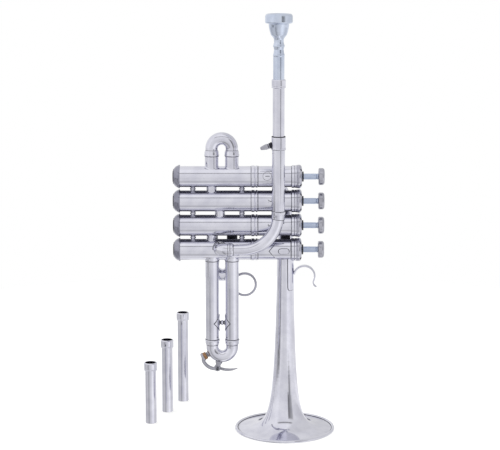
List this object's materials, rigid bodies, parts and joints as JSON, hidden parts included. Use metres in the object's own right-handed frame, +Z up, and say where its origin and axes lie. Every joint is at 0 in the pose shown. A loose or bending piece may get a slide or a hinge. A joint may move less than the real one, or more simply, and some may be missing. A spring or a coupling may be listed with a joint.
{
  "type": "piccolo trumpet",
  "caption": "Silver-plated piccolo trumpet standing on its bell, with sprung valves, tuning slides, finger ring, water key, removable leadpipe, mouthpiece and loose spare leadpipes.",
  "frame": {"origin": "centre of the bell mouth, on the plane the bell stands on", "axes": "+Z up the bell towards the mouthpiece, +X towards the finger buttons, -Y towards the leadpipe"},
  "size_m": [0.1957, 0.1576, 0.4228],
  "materials": {
    "silver_plate": "bright polished silver plate over brass",
    "mouthpiece_silver": "bright polished silver plate over brass, bluer",
    "stem_silver": "polished silver plate",
    "cap_silver": "polished silver plate, a little darker",
    "piston_metal": "ground nickel plate",
    "spring_steel": "drawn steel wire",
    "felt": "dense dark felt",
    "guide_nylon": "moulded, satin",
    "cork": "cut cork"
  },
  "bodies": {
    "horn": {"bell": "silver_plate", "bell_tail": "silver_plate", "bell_flange": "silver_plate", "finger_hook": "silver_plate", "tail_elbow": "silver_plate", "valve_casing_1": "silver_plate", "valve_casing_2": "silver_plate", "valve_casing_3": "silver_plate", "valve_casing_4": "silver_plate", "bottom_caps": "cap_silver", "top_caps": "silver_plate", "cap_felts": "felt", "valve_guides": "guide_nylon", "crossover_tubes": "silver_plate", "casing_braces": "silver_plate", "receiver_tube": "silver_plate", "clamp_collar": "silver_plate", "bend_ferrules": "silver_plate", "main_bend": "silver_plate", "entry_elbow": "silver_plate", "slide_1_sleeves": "silver_plate", "slide_2_sleeves": "silver_plate", "slide_3_sleeves": "silver_plate", "slide_4_sleeves": "silver_plate", "slide_3_knuckles": "silver_plate", "slide_4_brace": "silver_plate"},
    "valve_1": {"piston_1": "piston_metal", "piston_spring_1": "spring_steel", "valve_stem_1": "stem_silver", "finger_button_1": "silver_plate"},
    "valve_2": {"piston_2": "piston_metal", "piston_spring_2": "spring_steel", "valve_stem_2": "stem_silver", "finger_button_2": "silver_plate"},
    "valve_3": {"piston_3": "piston_metal", "piston_spring_3": "spring_steel", "valve_stem_3": "stem_silver", "finger_button_3": "silver_plate"},
    "valve_4": {"piston_4": "piston_metal", "piston_spring_4": "spring_steel", "valve_stem_4": "stem_silver", "finger_button_4": "silver_plate"},
    "slide_1": {"slide_1_bow": "silver_plate"},
    "slide_2": {"slide_2_bow": "silver_plate"},
    "slide_3": {"slide_3_bow": "silver_plate", "finger_ring": "silver_plate"},
    "slide_4": {"slide_4_bow": "silver_plate", "water_key_saddle": "silver_plate", "water_key_pin": "spring_steel", "water_key_spring": "spring_steel"},
    "water_key": {"water_key_lever": "silver_plate", "water_key_cork": "cork"},
    "leadpipe_body": {"leadpipe": "silver_plate"},
    "mouthpiece_body": {"mouthpiece": "mouthpiece_silver"},
    "thumb_screw_body": {"thumb_screw": "silver_plate"},
    "spare_long_body": {"spare_leadpipe_long": "silver_plate"},
    "spare_mid_body": {"spare_leadpipe_mid": "silver_plate"},
    "spare_short_body": {"spare_leadpipe_short": "silver_plate"}
  },
  "joints": [
    {"name": "valve_1_press", "type": "slide", "parent": "horn", "child": "valve_1", "axis": [-1, 0, 0], "range_m": [0, 0.0144], "stiffness_N_per_m": 150, "springref_m": -0.016, "deforming": ["piston_spring_1"]},
    {"name": "valve_2_press", "type": "slide", "parent": "horn", "child": "valve_2", "axis": [-1, 0, 0], "range_m": [0, 0.0144], "stiffness_N_per_m": 150, "springref_m": -0.016, "deforming": ["piston_spring_2"]},
    {"name": "valve_3_press", "type": "slide", "parent": "horn", "child": "valve_3", "axis": [-1, 0, 0], "range_m": [0, 0.0144], "stiffness_N_per_m": 150, "springref_m": -0.016, "deforming": ["piston_spring_3"]},
    {"name": "valve_4_press", "type": "slide", "parent": "horn", "child": "valve_4", "axis": [-1, 0, 0], "range_m": [0, 0.0144], "stiffness_N_per_m": 150, "springref_m": -0.016, "deforming": ["piston_spring_4"]},
    {"name": "slide_1_pull", "type": "slide", "parent": "horn", "child": "slide_1", "axis": [0, 0, 1], "range_m": [0, 0.008]},
    {"name": "slide_2_pull", "type": "slide", "parent": "horn", "child": "slide_2", "axis": [0, 0.9781, -0.2079], "range_m": [0, 0.006]},
    {"name": "slide_3_pull", "type": "slide", "parent": "horn", "child": "slide_3", "axis": [0, 0, -1], "range_m": [0, 0.012]},
    {"name": "slide_4_pull", "type": "slide", "parent": "horn", "child": "slide_4", "axis": [0, 0, -1], "range_m": [0, 0.045]},
    {"name": "water_key_open", "type": "hinge", "parent": "slide_4", "child": "water_key", "pos_m": [-0.0681, -0.019, 0.069], "axis": [0, -1, 0], "range_deg": [0, 20], "stiffness_Nm_per_rad": 0.02, "springref_deg": -22.92},
    {"name": "leadpipe_pull", "type": "slide", "parent": "horn", "child": "leadpipe_body", "axis": [0, 0, 1], "range_m": [0, 0.015]},
    {"name": "mouthpiece_pull", "type": "slide", "parent": "leadpipe_body", "child": "mouthpiece_body", "axis": [0, 0, 1], "range_m": [0, 0.03]},
    {"name": "thumb_screw_turn", "type": "hinge", "parent": "horn", "child": "thumb_screw_body", "pos_m": [-0.0079, -0.037, 0.29835], "axis": [-0.9563, 0, -0.2924], "range_deg": [0, 180]},
    {"name": "spare_long_lift", "type": "slide", "parent": "horn", "child": "spare_long_body", "axis": [0, 0, 1], "range_m": [0, 0.12]},
    {"name": "spare_mid_lift", "type": "slide", "parent": "horn", "child": "spare_mid_body", "axis": [0, 0, 1], "range_m": [0, 0.12]},
    {"name": "spare_short_lift", "type": "slide", "parent": "horn", "child": "spare_short_body", "axis": [0, 0, 1], "range_m": [0, 0.12]}
  ]
}
